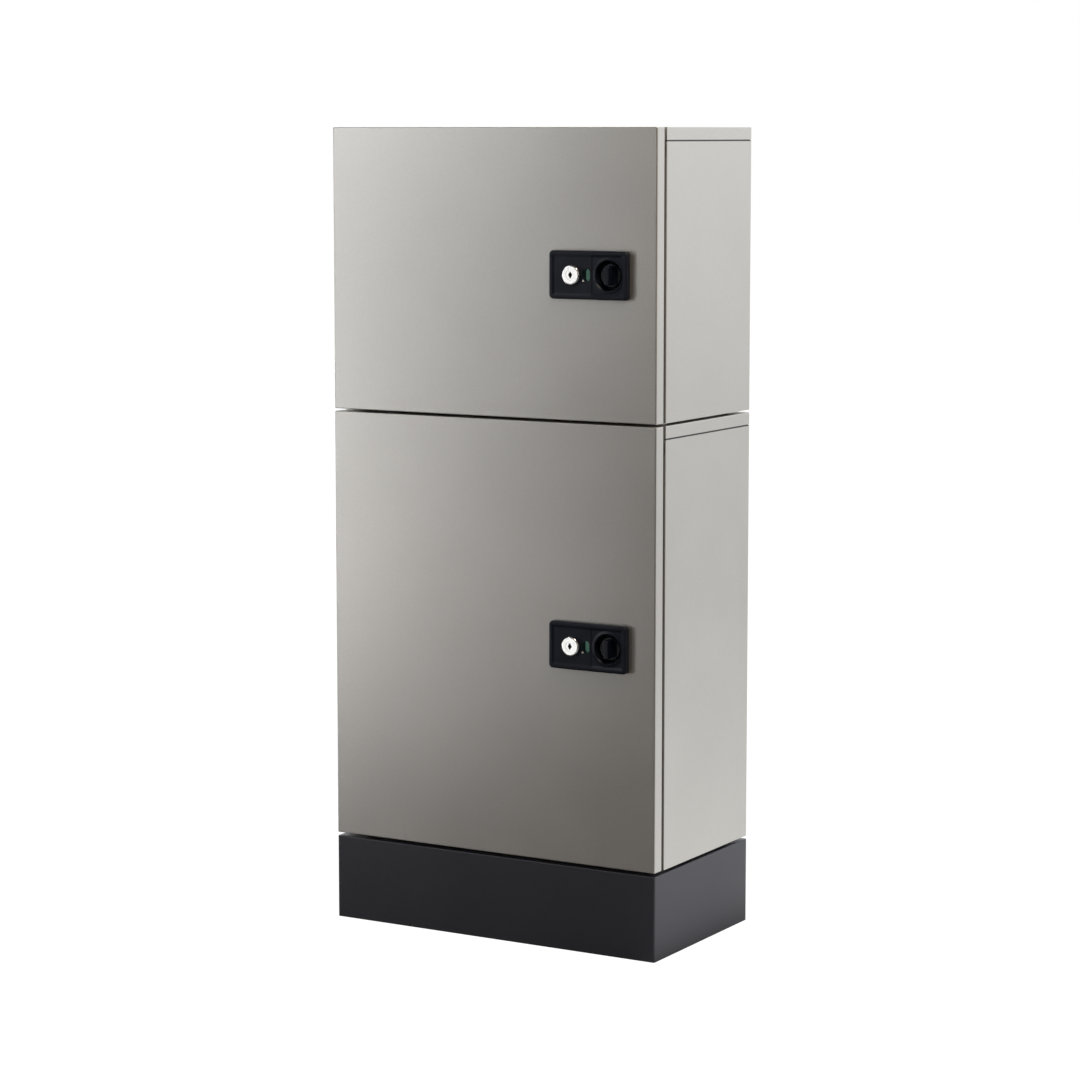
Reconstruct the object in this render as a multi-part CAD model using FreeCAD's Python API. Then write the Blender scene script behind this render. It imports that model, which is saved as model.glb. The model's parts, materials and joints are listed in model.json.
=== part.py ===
"""Two-tier parcel locker on a plinth: two steel cabinets, one above the other, each with a
left-hung door, a key-and-knob lock and a vacancy indicator.

Millimetres. +X is to the right seen from the front, +Y towards the back, +Z up.
The origin is on the floor, at the middle of the plinth.
"""
import FreeCAD, Part

import math
import os

V = FreeCAD.Vector

# ---------------------------------------------------------------- driving dimensions
width = 458.0                 # over the side walls
depth = 246.0                 # door face to back wall
plinth_height = 105.0
plinth_gap = 4.2              # plinth to lower cabinet
lower_height = 538.0
cabinet_gap = 3.2             # lower cabinet to upper cabinet
upper_height = 349.6

sheet = 1.2                   # cabinet and door steel
door_thickness = 17.0
door_gap = 6.5                # door back to cabinet front
cap_drop = 15.0               # roof cap's side skirt
cap_seam = 1.2                # joint under the skirt
stile_width = 28.0
rail_height = 34.0
lip_depth = 12.0              # folded lip round the door opening
upstand = 15.0                # floor pan's side flanges
back_bend = 3.0
edge_round = 1.2
front_round = 2.0

# fits
face_gap = 0.3                # between parts that pass each other
running = 0.05                # radial, shaft in bearing
hole_slack = 0.05             # radial, screw in its hole

# hinge
hinge_inset = 9.0             # pin axis from the door's left edge and from its face
pin_radius = 2.0
pin_head_radius = 3.0
pin_head = 1.5
bush_radius = 3.0
bush_flange_radius = 4.6
bush_flange = 1.5
arm_thickness = 3.0
arm_half_width = 4.0
foot_thickness = 2.5
tab_start = 7.0               # from the pin axis
tab_end = 32.0
tab_height = 14.0
hinge_screw_radius = 1.75
hinge_screw_head = 3.4
hinge_head_height = 1.5
tab_screw_share = 0.6         # screw height along the tab
arm_notch_reach = 2.0
arm_notch_slack = 1.0

# door construction
door_lip = 9.0                # inward lip at the door's back
liner_sheet = 1.0
liner_start = 9.0             # from the pin axis
liner_seam = 0.5
liner_fold_gap = 6.0          # skin to the liner's folded edge
liner_case_gap = 1.0
stiffener_width = 60.0
stiffener_web = 30.0
stiffener_sheet = 1.0
stiffener_x = -45.0

# gasket, magnet, bumpers
gasket_width = 6.0
magnet_length = 46.0
magnet_width = 9.0
magnet_above_rail = 10.0
bumper_radius = 4.0
trim_inset = 10.0             # magnet and bumper centres from the side

# lock, measured from the middle of its face plate
lock_inset = 89.4             # plate middle from the door's right edge
plate_width = 107.0
plate_height = 58.0
plate_proud = 8.0             # plate face in front of the door
plate_corner = 5.0
plate_edge = 2.6
plate_web = 3.0
plate_wall = 2.5
plate_border = 4.5            # raised border round the moulded face
panel_sink = 0.8              # key side of the face, below the border
field_sink = 1.4              # knob side
face_slope = 3.0              # run of the soft steps between them
divider_x = 4.7               # step from key side to knob side
collar_radius = 22.5          # cone that rises round the knob cup
collar_top_radius = 19.2
collar_sink = 0.2
mouth_bevel = 0.7             # round the cup and the window
seal_thickness = 0.8
case_width = 100.0
case_height = 52.0
case_back = 31.0              # case back wall from the door face
case_wall = 1.6
case_flange = 1.5
case_slot_slack = 0.6         # door cut-out round the case
post_x = 44.4
post_z = 20.0
post_radius = 3.5
lock_screw_radius = 1.5
lock_screw_head = 3.2
lock_screw_head_height = 2.4
screw_cross = 2.2             # half length of the driver cross
screw_cross_width = 0.8
screw_cross_depth = 1.0
boss_length = 2.0             # plate boss inside the door skin
guide_radius = 2.5            # case posts behind the indicator
guide_inset = 2.0
guide_places = (-17.0, 12.0)
slider_pad = 9.0              # half width of the case pad behind the slider
slider_pad_margin = 2.0

# key cylinder
key_x = -21.6
barrel_radius = 10.0
barrel_rim = 1.75             # rim past the barrel
barrel_rim_radius = barrel_radius + barrel_rim
barrel_rim_round = 1.4
barrel_proud = 4.0
barrel_length = 23.0          # behind the plate face
nut_wall = 2.0                # at the nut's corners
nut_radius = barrel_radius + nut_wall
nut_thickness = 4.0
plug_radius = 6.0
keyway_width = 5.6
keyway_height = 7.8
keyway_waist = 1.0            # width at its top and bottom
keyway_depth = 24.0
cam_disc = 2.5
drive_pin_radius = 1.5
drive_pin_throw = 3.2
key_turn = 90.0

# lock slider
slider_thickness = 3.0
slider_low = -8.0
slider_high = 3.0
nose_low = -4.0               # the slider's nose is narrower than its body
nose_length = 12.0
drive_slot_slack = 0.25       # each side of the drive pin
slider_y = 27.0               # front face, behind the plate face
disc_overlap = 0.5            # lock disc past the slider, front and back

# knob and latch
knob_x = 28.1
cup_radius = 18.0
cup_depth = 12.0
cup_wall = 2.0
knob_radius = 14.2
knob_sunk = 6.5               # knob disc below the plate face
knob_round = 1.0
grip_width = 6.0
grip_length = 22.5
grip_proud = 5.0
grip_corner = 1.5
grip_round = 0.8
spindle_cover = 1.5           # knob left in front of the spindle
spindle_radius = 5.0
square = 7.0                  # spindle end
square_slack = 0.05
lock_disc_radius = 10.0
latch_thickness = 3.0
latch_width = 16.0
latch_reach = 46.0
strike_thickness = 2.0
strike_width = 14.0
strike_height = 44.0
latch_nut_radius = 6.5
latch_nut_thickness = 4.0
spindle_stub = 0.5            # spindle end past the nut
latch_tip_share = 0.6         # tip width over the eye's
disc_notch_depth = 4.0
gear_clear = 0.5              # knob cup to the gear

# indicator
window_x = -2.7
window_width = 11.0
window_height = 15.4
window_wall = 1.0
window_depth = 11.2
lens_thickness = 1.0
rack_teeth = 8
pinion_teeth = 16
gear_module = 1.25
backlash = 0.3
gear_width = 3.0
flag_margin = 0.2             # flag past the window's lower edge

# plinth and the bolts that hold the stack together
plinth_sheet = 1.6
plinth_top_flange = 40.0
plinth_foot_flange = 30.0
plinth_bend = 2.5
post_leg = 24.0
post_sheet = 2.0
anchor_radius = 5.5
anchor_x = 170.0
anchor_inset = 16.0           # from the plinth's front and back
stack_bolt_inset = 24.0       # from the side walls
stack_bolt_front = 24.5       # from the cabinet front
stack_bolt_back = 23.0        # from the back wall
bolt_radius = 4.0
bolt_hole_radius = 4.3
bolt_head_radius = 6.5
bolt_head = 5.0
bolt_end = 3.0                # bolt past its nut
nut_corner_radius = 7.0
nut_height = 6.5
spacer_radius = 11.0
wall_hole_radius = 4.5
wall_hole_x = 150.0
wall_hole_inset = 60.0
drain_radius = 3.0
drain_x = 150.0

# ---------------------------------------------------------------- places that follow
half = width / 2
door_face = -depth / 2
door_back = door_face + door_thickness
body_front = door_back + door_gap
body_back = depth / 2
lower_base = plinth_height + plinth_gap
lower_top = lower_base + lower_height
upper_base = lower_top + cabinet_gap
upper_top = upper_base + upper_height

hinge_x = -half + hinge_inset
hinge_y = door_face + hinge_inset
bracket_inset = sheet + bush_flange + face_gap
lock_x = half - lock_inset
plate_face = door_face - plate_proud
skin_inside = door_face + sheet
cup_floor = plate_face + cup_depth
case_rear = door_face + case_back
latch_front = body_front + lip_depth + strike_thickness + face_gap * 2
latch_back = latch_front + latch_thickness
gear_front = cup_floor + cup_wall + gear_clear
pitch_radius = gear_module * pinion_teeth / 2
tooth_pitch = math.pi * gear_module
dedendum = 1.25 * gear_module
pressure_angle = math.radians(20)
indicator_travel = math.pi / 2 * pitch_radius

bolt_places = [(sx * (half - stack_bolt_inset), y) for sx in (-1, 1)
               for y in (body_front + stack_bolt_front, body_back - stack_bolt_back)]

parts = {}


# ---------------------------------------------------------------- shape helpers
def block(x0, x1, y0, y1, z0, z1):
    return Part.makeBox(x1 - x0, y1 - y0, z1 - z0, V(x0, y0, z0))


def rod_y(x, z, radius, y0, y1):
    return Part.makeCylinder(radius, y1 - y0, V(x, y0, z), V(0, 1, 0))


def rod_z(x, y, radius, z0, z1):
    return Part.makeCylinder(radius, z1 - z0, V(x, y, z0), V(0, 0, 1))


def fuse(shapes):
    return shapes[0].multiFuse(shapes[1:]).removeSplitter() if len(shapes) > 1 else shapes[0]


def group(solids):
    return Part.makeCompound([one for shape in solids for one in shape.Solids])


def near(a, b):
    return abs(a - b) < 1e-6


def all_at_y(shape, y):
    """The edges that lie wholly at one y."""
    return [e for e in shape.Edges if all(near(v.Point.y, y) for v in e.Vertexes)]


def all_at_z(shape, z):
    return [e for e in shape.Edges if all(near(v.Point.z, z) for v in e.Vertexes)]


def upright(edge):
    a, b = (v.Point for v in edge.Vertexes)
    return near(a.x, b.x) and near(a.y, b.y)


def round_uprights(shape, radius, at_y=None):
    edges = [e for e in shape.Edges if len(e.Vertexes) == 2 and upright(e)
             and (at_y is None or near(e.Vertexes[0].Point.y, at_y))]
    return shape.makeFillet(radius, edges)


def prism_y(points, y0, y1):
    """A flat outline of (x, z) points, given thickness along Y."""
    wire = Part.makePolygon([V(x, y0, z) for x, z in points + points[:1]])
    return Part.Face(wire).extrude(V(0, y1 - y0, 0))


def rounded_plate_y(x0, x1, z0, z1, corner, y0, y1):
    """A rectangular plate that faces along Y, with rounded corners."""
    plate = block(x0, x1, y0, y1, z0, z1)
    edges = [e for e in plate.Edges if near(e.Vertexes[0].Point.x, e.Vertexes[1].Point.x)
             and near(e.Vertexes[0].Point.z, e.Vertexes[1].Point.z)]
    return plate.makeFillet(corner, edges)


def outline_y(x0, x1, z0, z1, corner, y):
    """The rounded rectangle's wire at one y."""
    plate = rounded_plate_y(x0, x1, z0, z1, corner, y, y + 1)
    return min(plate.Faces, key=lambda face: face.CenterOfMass.y).OuterWire


def tray_y(x0, x1, z0, z1, corner, slope, y_mouth, y_floor):
    """A cutter for a recess with sloping sides: the given size at its mouth, less slope at its floor."""
    grow = slope / (y_floor - y_mouth)
    mouth = outline_y(x0 - grow, x1 + grow, z0 - grow, z1 + grow, corner + grow, y_mouth - 1)
    floor = outline_y(x0 + slope, x1 - slope, z0 + slope, z1 - slope, corner, y_floor)
    return Part.makeLoft([mouth, floor], True, True)


def cone_y(x, z, radius0, radius1, y0, y1):
    return Part.makeCone(radius0, radius1, y1 - y0, V(x, y0, z), V(0, 1, 0))


def ring_y(x0, x1, z0, z1, border, y0, y1):
    """A picture frame that faces along Y: the rectangle less the same one drawn in by border."""
    outer = block(x0, x1, y0, y1, z0, z1)
    return outer.cut(block(x0 + border, x1 - border, y0, y1, z0 + border, z1 - border))


# ---------------------------------------------------------------- cabinet
def cabinet_shell(z0, z1):
    """Side walls, back wall and front stiles folded from one sheet; its top steps in under the cap."""
    shoulder = z1 - cap_drop - cap_seam
    walls = round_uprights(block(-half, half, body_front, body_back, z0, shoulder), back_bend, body_back)
    walls = round_uprights(walls, edge_round, body_front)
    hollow = block(-half + sheet, half - sheet, body_front - 1, body_back - sheet, z0, shoulder)
    walls = walls.cut(round_uprights(hollow, back_bend - sheet, body_back - sheet))
    step_x, step_back = half - sheet, body_back - sheet
    step_low, step_high = shoulder - 4 * sheet, z1 - sheet - face_gap
    step = round_uprights(block(-step_x, step_x, body_front + sheet, step_back, step_low, step_high),
                          back_bend - sheet, step_back)
    inner = block(-step_x + sheet, step_x - sheet, body_front, step_back - sheet, step_low, step_high)
    pieces = [walls, step.cut(inner)]
    stile_low, stile_high = z0 + rail_height, z1 - rail_height
    for side in (-1, 1):
        outer, edge = side * (half - sheet), side * (half - stile_width)
        pieces.append(block(min(outer, edge), max(outer, edge), body_front, body_front + sheet,
                            stile_low, stile_high))
        lip = edge + side * sheet
        pieces.append(block(min(edge, lip), max(edge, lip), body_front, body_front + lip_depth,
                            stile_low, stile_high))
    shell = fuse(pieces)
    for x in (-wall_hole_x, wall_hole_x):
        for z in (z0 + wall_hole_inset, z1 - wall_hole_inset):
            shell = shell.cut(rod_y(x, z, wall_hole_radius, body_back - 2 * sheet, body_back + 1))
    return shell


def bracket_screw_places(z_screw):
    step = (tab_end - tab_start) / 4
    return [(hinge_x + tab_start + step, z_screw), (hinge_x + tab_end - step, z_screw)]


def drill_bracket_screws(rail, z_screw):
    for x, z in bracket_screw_places(z_screw):
        rail = rail.cut(rod_y(x, z, hinge_screw_radius + hole_slack, body_front - 1, body_front + 2 * sheet))
    return rail


def top_screw_z(z1):
    return z1 - bracket_inset - tab_height * tab_screw_share


def bottom_screw_z(z0):
    return z0 + bracket_inset + tab_height * tab_screw_share


def roof_cap(z1, bolted):
    """Lid with a skirt all round; its front skirt goes on down as the rail over the opening."""
    cap = round_uprights(block(-half, half, body_front, body_back, z1 - cap_drop, z1), back_bend, body_back)
    cap = cap.makeFillet(edge_round, all_at_z(cap, z1))
    hollow = block(-half + sheet, half - sheet, body_front + sheet, body_back - sheet,
                   z1 - cap_drop, z1 - sheet)
    cap = cap.cut(round_uprights(hollow, back_bend - sheet, body_back - sheet))
    inner, rail_low = half - 2 * sheet, z1 - rail_height
    rail = block(-inner, inner, body_front, body_front + sheet, rail_low, z1 - cap_drop)
    lip_end = half - stile_width
    lip = block(-lip_end, lip_end, body_front, body_front + lip_depth, rail_low, rail_low + sheet)
    cap = drill_bracket_screws(fuse([cap, rail, lip]), top_screw_z(z1))
    if bolted:
        for x, y in bolt_places:
            cap = cap.cut(rod_z(x, y, bolt_hole_radius, z1 - 2 * sheet, z1 + 1))
    return cap


def floor_pan(z0):
    """Tray that closes the bottom: side and back upstands, and the rail under the opening."""
    inner, back = half - sheet, body_back - sheet
    pan = round_uprights(block(-inner, inner, body_front, back, z0, z0 + upstand), back_bend - sheet, back)
    hollow = block(-inner + sheet, inner - sheet, body_front + sheet, back - sheet,
                   z0 + sheet, z0 + upstand)
    pan = pan.cut(hollow)
    rail_top, lip_end = z0 + rail_height, half - stile_width
    rail = block(-inner, inner, body_front, body_front + sheet, z0 + upstand, rail_top)
    lip = block(-lip_end, lip_end, body_front, body_front + lip_depth, rail_top - sheet, rail_top)
    pan = drill_bracket_screws(fuse([pan, rail, lip]), bottom_screw_z(z0))
    for x, y in bolt_places:
        pan = pan.cut(rod_z(x, y, bolt_hole_radius, z0 - 1, z0 + 2 * sheet))
    drain_y = body_front + lip_depth + 2 * drain_radius
    for x in (-drain_x, drain_x):
        pan = pan.cut(rod_z(x, drain_y, drain_radius, z0 - 1, z0 + 2 * sheet))
    return pan


def door_gasket(z0, z1):
    """Sealing strip round the opening; it stops just short of the door."""
    outer_x, outer_low, outer_high = (half - stile_width + gasket_width,
                                      z0 + rail_height - gasket_width, z1 - rail_height + gasket_width)
    return ring_y(-outer_x, outer_x, outer_low, outer_high, gasket_width,
                  door_back + face_gap, body_front)


# ---------------------------------------------------------------- hinges
def hinge_bracket(z_arm, tab_direction):
    """Arm that reaches from the cabinet front to the pin, with a screwed tab beside it.
    z_arm is the arm's lower face; the tab runs up (+1) or down (-1) from it."""
    eye = rod_z(hinge_x, hinge_y, arm_half_width, z_arm, z_arm + arm_thickness)
    arm = block(hinge_x - arm_half_width, hinge_x + arm_half_width, hinge_y, body_front,
                z_arm, z_arm + arm_thickness)
    foot = block(hinge_x - arm_half_width, hinge_x + tab_end, body_front - foot_thickness, body_front,
                 z_arm, z_arm + arm_thickness)
    low = z_arm if tab_direction > 0 else z_arm + arm_thickness - tab_height
    tab = block(hinge_x + tab_start, hinge_x + tab_end, body_front - foot_thickness, body_front,
                low, low + tab_height)
    bracket = fuse([eye, arm, foot, tab])
    bracket = bracket.cut(rod_z(hinge_x, hinge_y, pin_radius, z_arm - 1, z_arm + arm_thickness + 1))
    z_screw = low + tab_height * (tab_screw_share if tab_direction > 0 else 1 - tab_screw_share)
    for x, z in bracket_screw_places(z_screw):
        bracket = bracket.cut(rod_y(x, z, hinge_screw_radius + hole_slack, body_front - 5, body_front + 1))
    return bracket


def hinge_pin(z_head, z_shank, z_tip):
    """Headed pin from its head, which rests on the arm at z_shank, to its tip at the door's edge."""
    head = rod_z(hinge_x, hinge_y, pin_head_radius, min(z_head, z_shank), max(z_head, z_shank))
    return fuse([head, rod_z(hinge_x, hinge_y, pin_radius, min(z_head, z_tip), max(z_head, z_tip))])


def hinge_bush(low, flange_low):
    """Flanged bush pressed into the door's edge; both numbers are lower ends."""
    bush = fuse([rod_z(hinge_x, hinge_y, bush_radius, low, low + sheet),
                 rod_z(hinge_x, hinge_y, bush_flange_radius, flange_low, flange_low + bush_flange)])
    return bush.cut(rod_z(hinge_x, hinge_y, pin_radius + running, min(low, flange_low) - 1,
                          max(low, flange_low) + bush_flange + 1))


def hinge_parts(z0, z1):
    """Brackets, pins, bushes and screws of one door."""
    top_arm, bottom_arm = z1 - bracket_inset - arm_thickness, z0 + bracket_inset
    bottom_arm_top = bottom_arm + arm_thickness
    brackets = [hinge_bracket(top_arm, -1), hinge_bracket(bottom_arm, 1)]
    pins = [hinge_pin(top_arm - pin_head, top_arm, z1 - face_gap),
            hinge_pin(bottom_arm_top + pin_head, bottom_arm_top, z0 + face_gap)]
    bushes = [hinge_bush(z1 - sheet, z1 - sheet - bush_flange), hinge_bush(z0, z0 + sheet)]
    tab_face = body_front - foot_thickness
    screws = []
    for z_screw in (top_screw_z(z1), bottom_screw_z(z0)):
        for x, z in bracket_screw_places(z_screw):
            head = rod_y(x, z, hinge_screw_head, tab_face - hinge_head_height, tab_face)
            screws.append(fuse([head, rod_y(x, z, hinge_screw_radius, tab_face, body_front + 3 * sheet)]))
    return brackets, pins, bushes, screws


# ---------------------------------------------------------------- door
def arm_notches(z0, z1):
    """Room in the door's hinge edge for the two bracket arms to swing."""
    reach = hinge_x + arm_half_width + arm_notch_reach
    return [block(-half - 1, reach, door_face + sheet, door_back + 1,
                  low - arm_notch_slack, low + arm_thickness + arm_notch_slack)
            for low in (z1 - bracket_inset - arm_thickness, z0 + bracket_inset)]


def door_skin(z0, z1):
    """Folded pan that is the door's outside, with lips at the back on its three free sides."""
    pan = block(-half, half, door_face, door_back, z0, z1)
    pan = round_uprights(pan, front_round, door_face)
    pan = pan.makeFillet(edge_round, all_at_y(pan, door_face))
    cavity = block(-half + sheet, half - sheet, skin_inside, door_back - sheet, z0 + sheet, z1 - sheet)
    pan = pan.cut(cavity)
    mouth = block(-half + sheet, half - sheet - door_lip, door_back - 2 * sheet, door_back + 1,
                  z0 + sheet + door_lip, z1 - sheet - door_lip)
    hinge_side = block(-half + sheet, hinge_x + liner_start, door_back - 2 * sheet, door_back + 1,
                       z0 + sheet, z1 - sheet)
    pan = pan.cut(mouth).cut(hinge_side)
    for notch in arm_notches(z0, z1):
        pan = pan.cut(notch)
    pan = pan.cut(case_slot((z0 + z1) / 2, door_face - 1, skin_inside + 1))
    return pan.cut(rod_z(hinge_x, hinge_y, bush_radius, z0 - 1, z1 + 1))


def door_liner(z0, z1):
    """Inner panel: flush between the lips, with a stepped border that tucks in front of them."""
    left, right = hinge_x + liner_start, half - sheet
    low, high = z0 + sheet, z1 - sheet
    flush = block(left, right - door_lip - liner_seam, door_back - sheet, door_back,
                  low + door_lip + liner_seam, high - door_lip - liner_seam)
    tucked_y = door_back - sheet - liner_sheet
    border = block(left, right - 1, tucked_y, door_back - sheet, low + 1, high - 1)
    window = block(left + liner_sheet, right - 2 * door_lip, tucked_y - 1, door_back - sheet,
                   low + 2 * door_lip, high - 2 * door_lip)
    fold = block(left, left + liner_sheet, skin_inside + liner_fold_gap, tucked_y, low + 1, high - 1)
    liner = fuse([flush, border.cut(window), fold])
    for notch in arm_notches(z0, z1):
        liner = liner.cut(notch)
    middle = (z0 + z1) / 2
    wide, tall = case_width / 2 + liner_case_gap, case_height / 2 + liner_case_gap
    return liner.cut(block(lock_x - wide, lock_x + wide, tucked_y - 1, door_back + 1,
                           middle - tall, middle + tall))


def door_stiffener(z0, z1):
    """Hat-section channel between skin and liner."""
    low, high = z0 + 2 * door_lip, z1 - 2 * door_lip
    crown = door_back - sheet - liner_sheet - face_gap
    wide, narrow = stiffener_width / 2, stiffener_web / 2
    flanges = block(stiffener_x - wide, stiffener_x + wide,
                    skin_inside, skin_inside + stiffener_sheet, low, high)
    channel = block(stiffener_x - narrow, stiffener_x + narrow, skin_inside, crown, low, high)
    hollow = block(stiffener_x - narrow + stiffener_sheet, stiffener_x + narrow - stiffener_sheet,
                   skin_inside - 1, crown - stiffener_sheet, low, high)
    return fuse([flanges, channel]).cut(hollow)


# ---------------------------------------------------------------- lock
def corner_places(middle):
    return [(lock_x + sx * post_x, middle + sz * post_z) for sx in (-1, 1) for sz in (-1, 1)]


def shaped_face(plate, middle):
    """Sinks the plate's key side and knob side below its border and raises the collar of the cup."""
    left = lock_x - plate_width / 2 + plate_border
    right = lock_x + plate_width / 2 - plate_border
    low = middle - plate_height / 2 + plate_border
    high = middle + plate_height / 2 - plate_border
    divider = lock_x + divider_x
    plate = plate.cut(tray_y(left, divider + 2 * face_slope, low, high, panel_sink, face_slope,
                             plate_face, plate_face + panel_sink))
    field = tray_y(divider - face_slope * panel_sink / field_sink, right, low, high, field_sink, face_slope,
                   plate_face, plate_face + field_sink)
    collar = cone_y(lock_x + knob_x, middle, collar_top_radius, collar_radius,
                    plate_face + collar_sink, plate_face + field_sink)
    return plate.cut(field.cut(collar))


def window_outline(middle, grow, y0, y1):
    x, half_w, half_h = lock_x + window_x, window_width / 2 + grow, window_height / 2 + grow
    return rounded_plate_y(x - half_w, x + half_w, middle - half_h, middle + half_h,
                           window_width / 2 - window_wall, y0, y1)


def lock_plate(middle):
    """Moulded face plate with the knob cup, the indicator's sight well and four screw bosses."""
    base, web_back = door_face - seal_thickness, plate_face + plate_web
    wide, tall = plate_width / 2, plate_height / 2
    plate = rounded_plate_y(lock_x - wide, lock_x + wide, middle - tall, middle + tall, plate_corner,
                            plate_face, base)
    plate = plate.makeFillet(plate_edge, all_at_y(plate, plate_face))
    wide, tall = wide - plate_wall, tall - plate_wall
    plate = plate.cut(rounded_plate_y(lock_x - wide, lock_x + wide, middle - tall, middle + tall,
                                      plate_corner - plate_wall, web_back, base))
    plate = shaped_face(plate, middle)
    knob_place = (lock_x + knob_x, middle)
    cup = rod_y(*knob_place, cup_radius + cup_wall, web_back, cup_floor + cup_wall)
    well = window_outline(middle, window_wall, web_back, plate_face + window_depth)
    bosses = [rod_y(x, z, post_radius, web_back, skin_inside + boss_length) for x, z in corner_places(middle)]
    plate = fuse([plate, cup, well] + bosses)
    mouth = plate_face + collar_sink
    cuts = [rod_y(*knob_place, cup_radius, plate_face - 1, cup_floor),
            cone_y(*knob_place, cup_radius + mouth_bevel, cup_radius, mouth, mouth + mouth_bevel),
            rod_y(*knob_place, spindle_radius + 2 * running, cup_floor - 1, cup_floor + cup_wall + 1),
            window_outline(middle, 0, plate_face - 1, plate_face + window_depth + 1),
            rod_y(lock_x + key_x, middle, barrel_radius, plate_face - 1, web_back + 1)]
    cuts += [rod_y(x, z, lock_screw_radius, web_back, skin_inside + boss_length + 1)
             for x, z in corner_places(middle)]
    for cut in cuts:
        plate = plate.cut(cut)
    return plate


def case_slot(middle, y0, y1):
    """The opening in the door and its seal that the lock case's mouth needs."""
    slot_x = case_width / 2 - case_wall + case_slot_slack
    slot_z = case_height / 2 - case_wall + case_slot_slack
    return block(lock_x - slot_x, lock_x + slot_x, y0, y1, middle - slot_z, middle + slot_z)


def lock_seal(middle):
    """Thin gasket between the face plate and the door."""
    wide, tall = plate_width / 2 - 1, plate_height / 2 - 1
    seal = rounded_plate_y(lock_x - wide, lock_x + wide, middle - tall, middle + tall,
                           plate_corner - 1, door_face - seal_thickness, door_face)
    return seal.cut(case_slot(middle, door_face - 2, door_face + 1))


def lock_case(middle):
    """Box behind the door that guides the moving pieces; screws clamp it to the face plate."""
    wide, tall = case_width / 2, case_height / 2
    flange = block(lock_x - plate_width / 2, lock_x + plate_width / 2, skin_inside,
                   skin_inside + case_flange, middle - plate_height / 2, middle + plate_height / 2)
    box = block(lock_x - wide, lock_x + wide, skin_inside, case_rear, middle - tall, middle + tall)
    hollow = block(lock_x - wide + case_wall, lock_x + wide - case_wall, skin_inside - 1,
                   case_rear - case_wall, middle - tall + case_wall, middle + tall - case_wall)
    inside_back = case_rear - case_wall
    posts = [rod_y(x, z, post_radius, skin_inside + boss_length + face_gap, inside_back)
             for x, z in corner_places(middle)]
    slider_back = plate_face + slider_y + slider_thickness + face_gap
    pad = block(lock_x + window_x - slider_pad, lock_x + window_x + slider_pad, slider_back, inside_back,
                middle + slider_low - slider_pad_margin, middle + slider_high + slider_pad_margin)
    guides = [rod_y(lock_x + window_x + guide_inset, middle + z, guide_radius,
                    gear_front + gear_width + face_gap, inside_back) for z in guide_places]
    case = fuse([flange, box]).cut(hollow)
    case = fuse([case, pad] + guides + posts)
    case = case.cut(rod_y(lock_x + knob_x, middle, spindle_radius + 2 * running,
                          inside_back - 1, case_rear + 1))
    for x, z in corner_places(middle):
        case = case.cut(rod_y(x, z, lock_screw_radius + hole_slack, skin_inside, case_rear + 1))
    return case


def lock_screws(middle):
    screws = []
    for x, z in corner_places(middle):
        shank = rod_y(x, z, lock_screw_radius, door_face, case_rear)
        head_end = case_rear + lock_screw_head_height
        head = rod_y(x, z, lock_screw_head, case_rear, head_end)
        for long_x in (True, False):
            dx, dz = (screw_cross, screw_cross_width / 2) if long_x else (screw_cross_width / 2, screw_cross)
            head = head.cut(block(x - dx, x + dx, head_end - screw_cross_depth, head_end + 1, z - dz, z + dz))
        screws.append(fuse([shank, head]))
    return screws


def indicator_lens(middle):
    back = plate_face + window_depth
    return window_outline(middle, window_wall, back, back + lens_thickness)


def key_barrel(middle):
    x = lock_x + key_x
    seat = plate_face + panel_sink
    rim = rod_y(x, middle, barrel_rim_radius, plate_face - barrel_proud, seat)
    rim = rim.makeFillet(barrel_rim_round, all_at_y(rim, plate_face - barrel_proud))
    barrel = rod_y(x, middle, barrel_radius, seat, plate_face + barrel_length)
    both = fuse([rim, barrel])
    return both.cut(rod_y(x, middle, plug_radius + running, plate_face - barrel_proud - 1,
                          plate_face + barrel_length + 1))


def barrel_nut(middle):
    x = lock_x + key_x
    front = plate_face + plate_web
    corners = [(x + nut_radius * math.cos(math.radians(60 * k + 30)),
                middle + nut_radius * math.sin(math.radians(60 * k + 30))) for k in range(6)]
    nut = prism_y(corners, front, front + nut_thickness)
    return nut.cut(rod_y(x, middle, barrel_radius, front - 1, front + nut_thickness + 1))


def key_plug(middle):
    x = lock_x + key_x
    front, back = plate_face - barrel_proud + face_gap, plate_face + barrel_length + face_gap
    plug = rod_y(x, middle, plug_radius, front, back)
    side = [(keyway_waist / 2, keyway_height / 2), (keyway_width / 2, 0),
            (keyway_waist / 2, -keyway_height / 2)]
    outline = side + [(-dx, -dz) for dx, dz in side]
    return plug.cut(prism_y([(x + dx, middle + dz) for dx, dz in outline], front - 1, front + keyway_depth))


def drive_pin_angle():
    """The pin starts half the key's turn short of straight down, measured clockwise."""
    return math.radians(-90 + key_turn / 2)


def plug_cam(middle):
    """Disc on the plug's tail with the pin that drives the lock slider."""
    x = lock_x + key_x
    front = plate_face + barrel_length + face_gap
    disc = rod_y(x, middle, plug_radius, front, front + cam_disc)
    pin_x = x + drive_pin_throw * math.cos(drive_pin_angle())
    pin_z = middle + drive_pin_throw * math.sin(drive_pin_angle())
    return fuse([disc, rod_y(pin_x, pin_z, drive_pin_radius, front + cam_disc,
                             plate_face + slider_y + slider_thickness)])


def slider_travel():
    return 2 * drive_pin_throw * math.cos(drive_pin_angle())


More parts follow.
